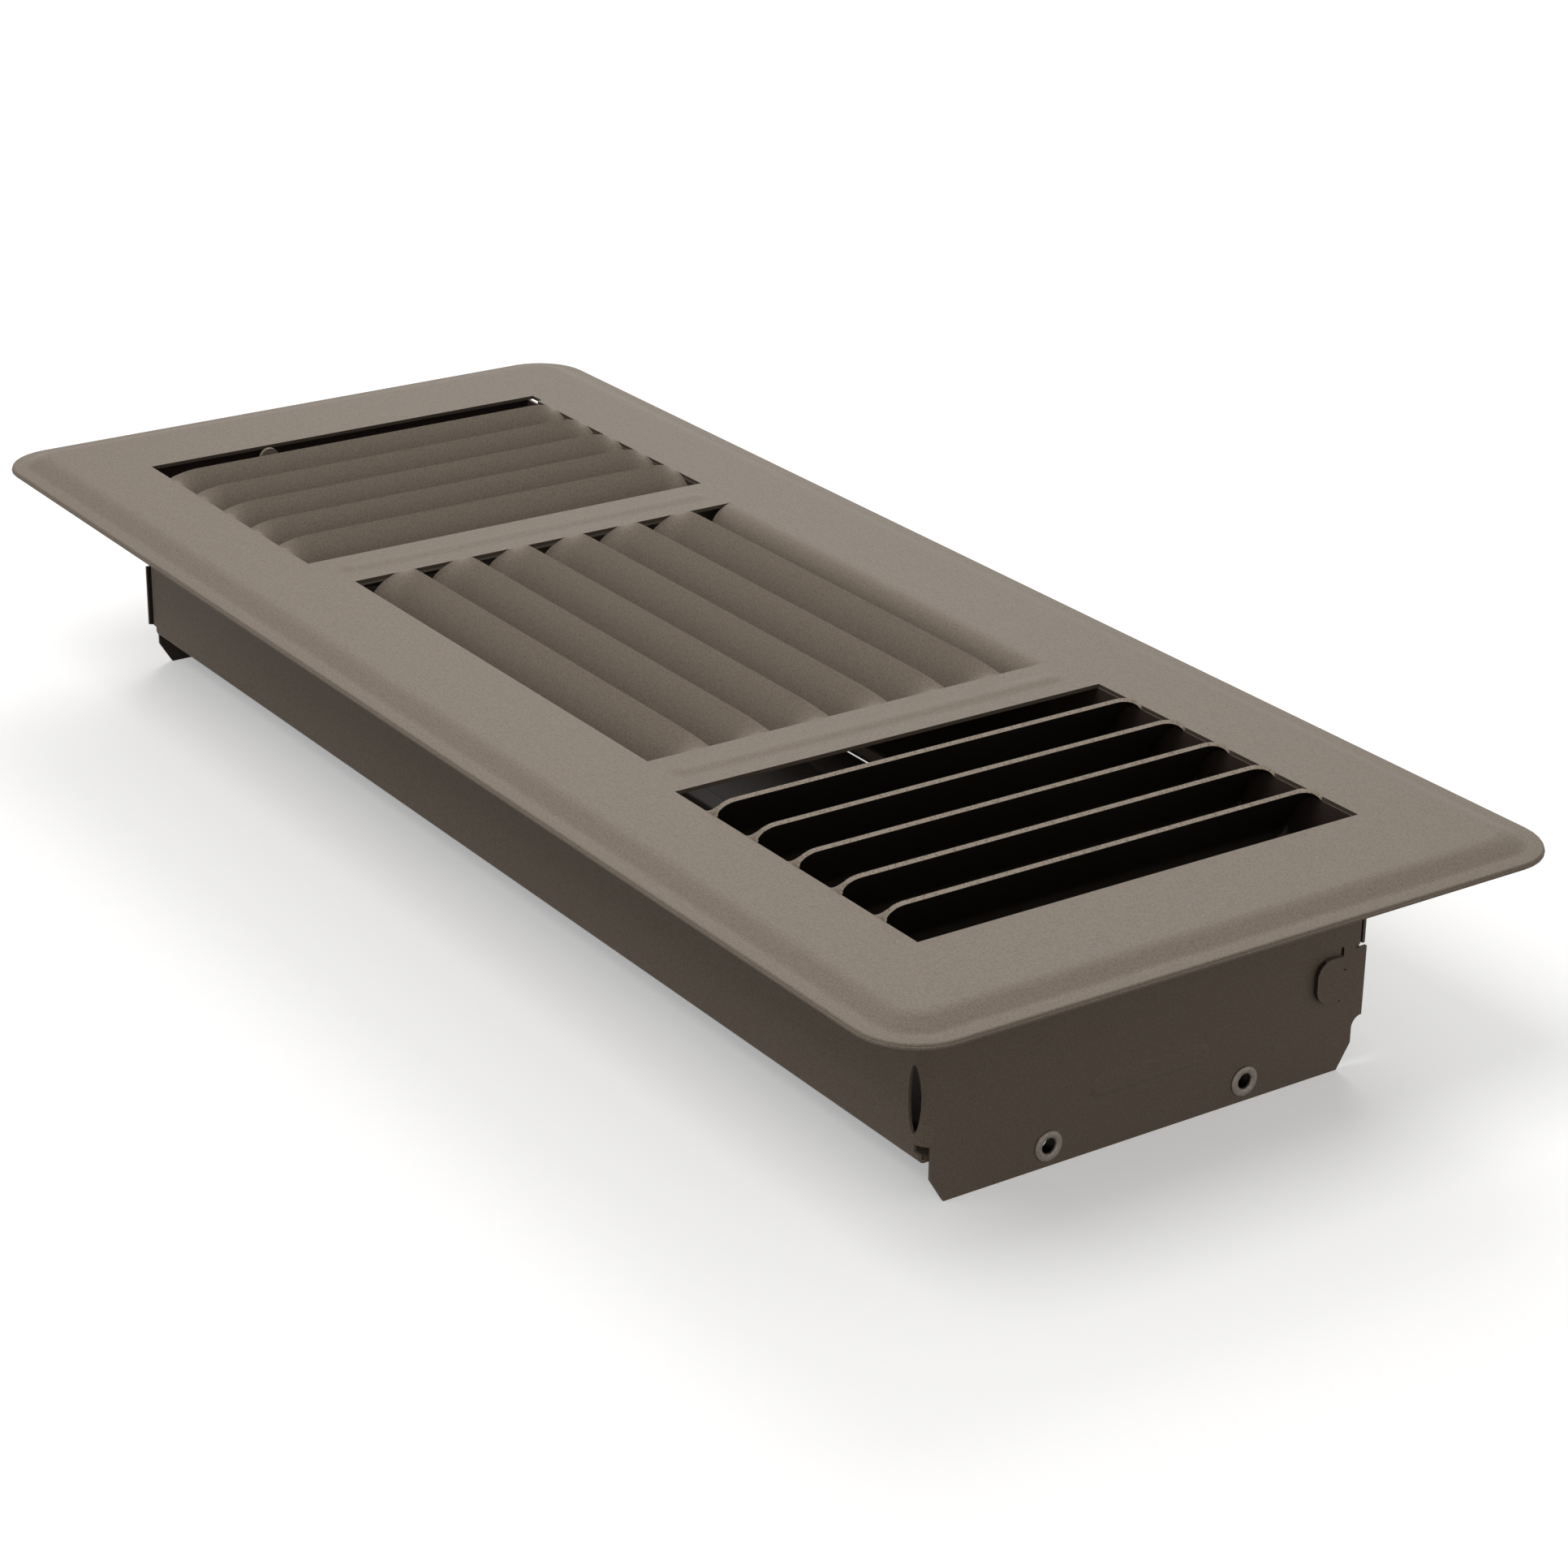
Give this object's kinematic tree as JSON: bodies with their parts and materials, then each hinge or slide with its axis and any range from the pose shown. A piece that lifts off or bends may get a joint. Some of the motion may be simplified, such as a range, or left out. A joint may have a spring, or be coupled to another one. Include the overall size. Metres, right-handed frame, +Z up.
{
  "type": "floor register",
  "caption": "Steel floor register: a stamped face with end and middle groups of twisted louvres on a folded box, with pivoting damper blades and a lever.",
  "frame": {"origin": "under the centre of the face, at the level of the feet of the end walls", "axes": "+X along the face towards the end away from the lever, +Y across it, +Z up out of the floor"},
  "size_m": [0.3506, 0.149, 0.0509],
  "materials": {
    "face_coat": "satin taupe powder coat",
    "box_coat": "satin taupe powder coat",
    "damper_coat": "satin taupe powder coat",
    "fastener_coat": "satin taupe powder coat over rolled steel"
  },
  "bodies": {
    "housing": {"face_plate": "face_coat", "collar_left": "box_coat", "collar_right": "box_coat", "pivot_eyelets": "fastener_coat"},
    "left_blade": {"damper_blade_left": "damper_coat", "link_rivet_left": "fastener_coat"},
    "right_blade": {"damper_blade_right": "damper_coat", "link_rivet_right": "fastener_coat"},
    "linkage": {"link_bar": "damper_coat", "control_lever": "damper_coat", "lever_rivets": "fastener_coat"}
  },
  "joints": [
    {"name": "left_blade_pivot", "type": "hinge", "parent": "housing", "child": "left_blade", "pos_m": [0, -0.0224, 0.0042], "axis": [-1, 0, 0], "range_deg": [0, 80]},
    {"name": "right_blade_pivot", "type": "hinge", "parent": "housing", "child": "right_blade", "pos_m": [0, 0.0224, 0.0042], "axis": [-1, 0, 0], "range_deg": [0, 80]},
    {"name": "link_pivot", "type": "hinge", "parent": "left_blade", "child": "linkage", "pos_m": [-0.1483, -0.0324, 0.0142], "axis": [-1, 0, 0], "range_deg": [-80, 0]}
  ],
  "couplings": [
    {"joint": "right_blade_pivot", "follows": "left_blade_pivot", "ratio": 1},
    {"joint": "link_pivot", "follows": "left_blade_pivot", "ratio": -1}
  ]
}
